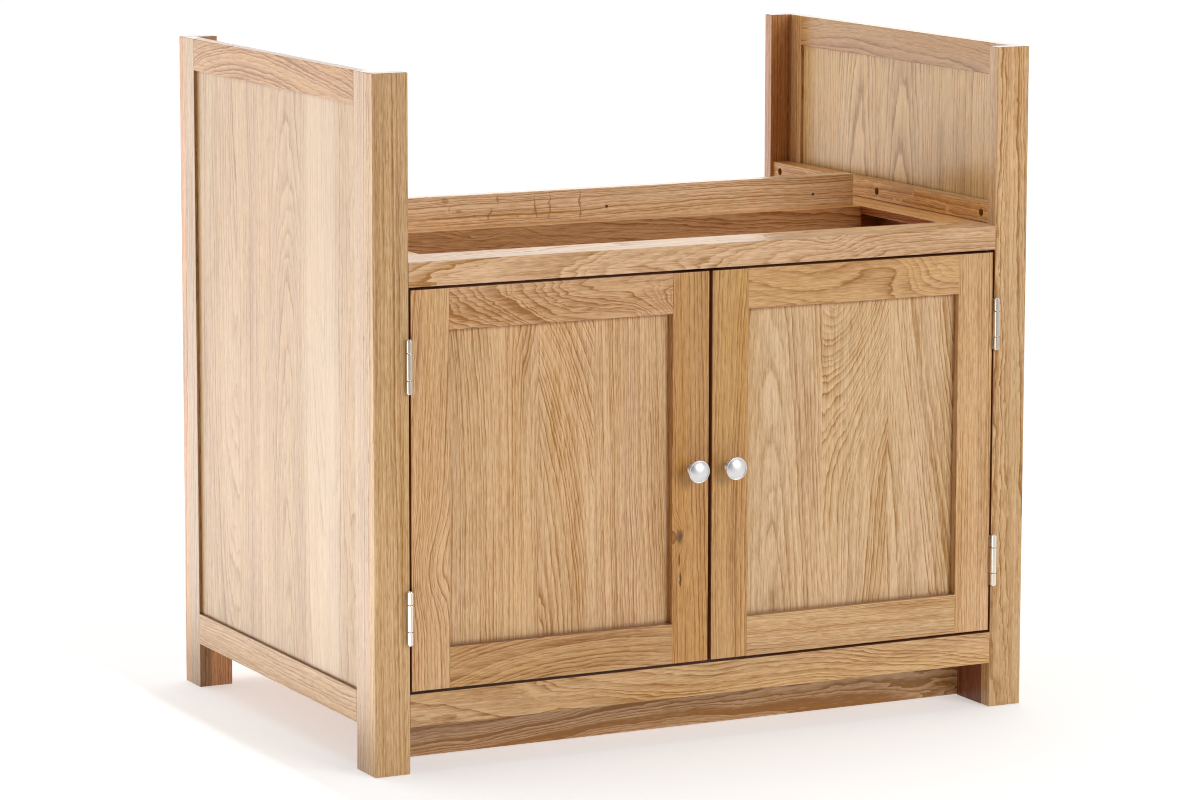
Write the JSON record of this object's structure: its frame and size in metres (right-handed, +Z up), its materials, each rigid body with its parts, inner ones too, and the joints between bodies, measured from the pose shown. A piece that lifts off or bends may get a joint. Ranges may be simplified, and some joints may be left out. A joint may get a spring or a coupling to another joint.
{
  "type": "double sink cabinet",
  "caption": "Free-standing oak base cabinet for a wide butler sink: framed sides, open sink space over a timber platform, hinged doors with knobs below and a recessed plinth.",
  "frame": {"origin": "centre of the footprint of the whole object, knobs included, on the floor", "axes": "+X to the right as seen from the front, +Y towards the back, +Z up"},
  "size_m": [0.9, 0.624, 0.84],
  "materials": {
    "oak_frame": "satin lacquered oak, straight grain",
    "oak_panel": "satin lacquered oak, cathedral grain, glued boards",
    "satin_nickel": "satin nickel",
    "screw_steel": "zinc plated",
    "catch_plastic": "brown moulded plastic"
  },
  "bodies": {
    "carcass": {"base_battens": "oak_frame", "base_board": "oak_panel", "bearer_battens": "oak_frame", "cleat_screws": "screw_steel", "cross_rail": "oak_frame", "face_bottom_rail": "oak_frame", "face_stile_left": "oak_frame", "face_stile_right": "oak_frame", "face_top_rail": "oak_frame", "frame_hinge_leaves": "satin_nickel", "frame_hinge_screws": "screw_steel", "front_bearer": "oak_frame", "front_foot_blocks": "oak_frame", "hinge_pins": "satin_nickel", "left_bearer": "oak_frame", "left_side_bottom_rail": "oak_frame", "left_side_front_stile": "oak_frame", "left_side_panel": "oak_panel", "left_side_rear_stile": "oak_frame", "left_side_top_rail": "oak_frame", "left_sink_cleat": "oak_frame", "magnetic_catch": "catch_plastic", "mid_bearer": "oak_frame", "platform_screws": "screw_steel", "plinth": "oak_frame", "rear_bottom_rail": "oak_frame", "rear_foot_blocks": "oak_frame", "rear_stile_left": "oak_frame", "rear_stile_right": "oak_frame", "rear_top_rail": "oak_frame", "right_bearer": "oak_frame", "right_side_bottom_rail": "oak_frame", "right_side_front_stile": "oak_frame", "right_side_panel": "oak_panel", "right_side_rear_stile": "oak_frame", "right_side_top_rail": "oak_frame", "right_sink_cleat": "oak_frame", "sink_stop_rail": "oak_frame"},
    "left_door": {"left_door_bottom_rail": "oak_frame", "left_door_hinge_leaves": "satin_nickel", "left_door_hinge_screws": "screw_steel", "left_door_hinge_stile": "oak_frame", "left_door_meeting_stile": "oak_frame", "left_door_panel": "oak_panel", "left_door_strike": "screw_steel", "left_door_top_rail": "oak_frame", "left_knob": "satin_nickel", "left_knob_screw": "screw_steel"},
    "right_door": {"right_door_bottom_rail": "oak_frame", "right_door_hinge_leaves": "satin_nickel", "right_door_hinge_screws": "screw_steel", "right_door_hinge_stile": "oak_frame", "right_door_meeting_stile": "oak_frame", "right_door_panel": "oak_panel", "right_door_strike": "screw_steel", "right_door_top_rail": "oak_frame", "right_knob": "satin_nickel", "right_knob_screw": "screw_steel"}
  },
  "joints": [
    {"name": "left_door_hinge", "type": "hinge", "parent": "carcass", "child": "left_door", "pos_m": [-0.4054, -0.2921, 0.3415], "axis": [0, 0, -1], "range_deg": [0, 170]},
    {"name": "right_door_hinge", "type": "hinge", "parent": "carcass", "child": "right_door", "pos_m": [0.4054, -0.2921, 0.3415], "axis": [0, 0, 1], "range_deg": [0, 170]}
  ]
}
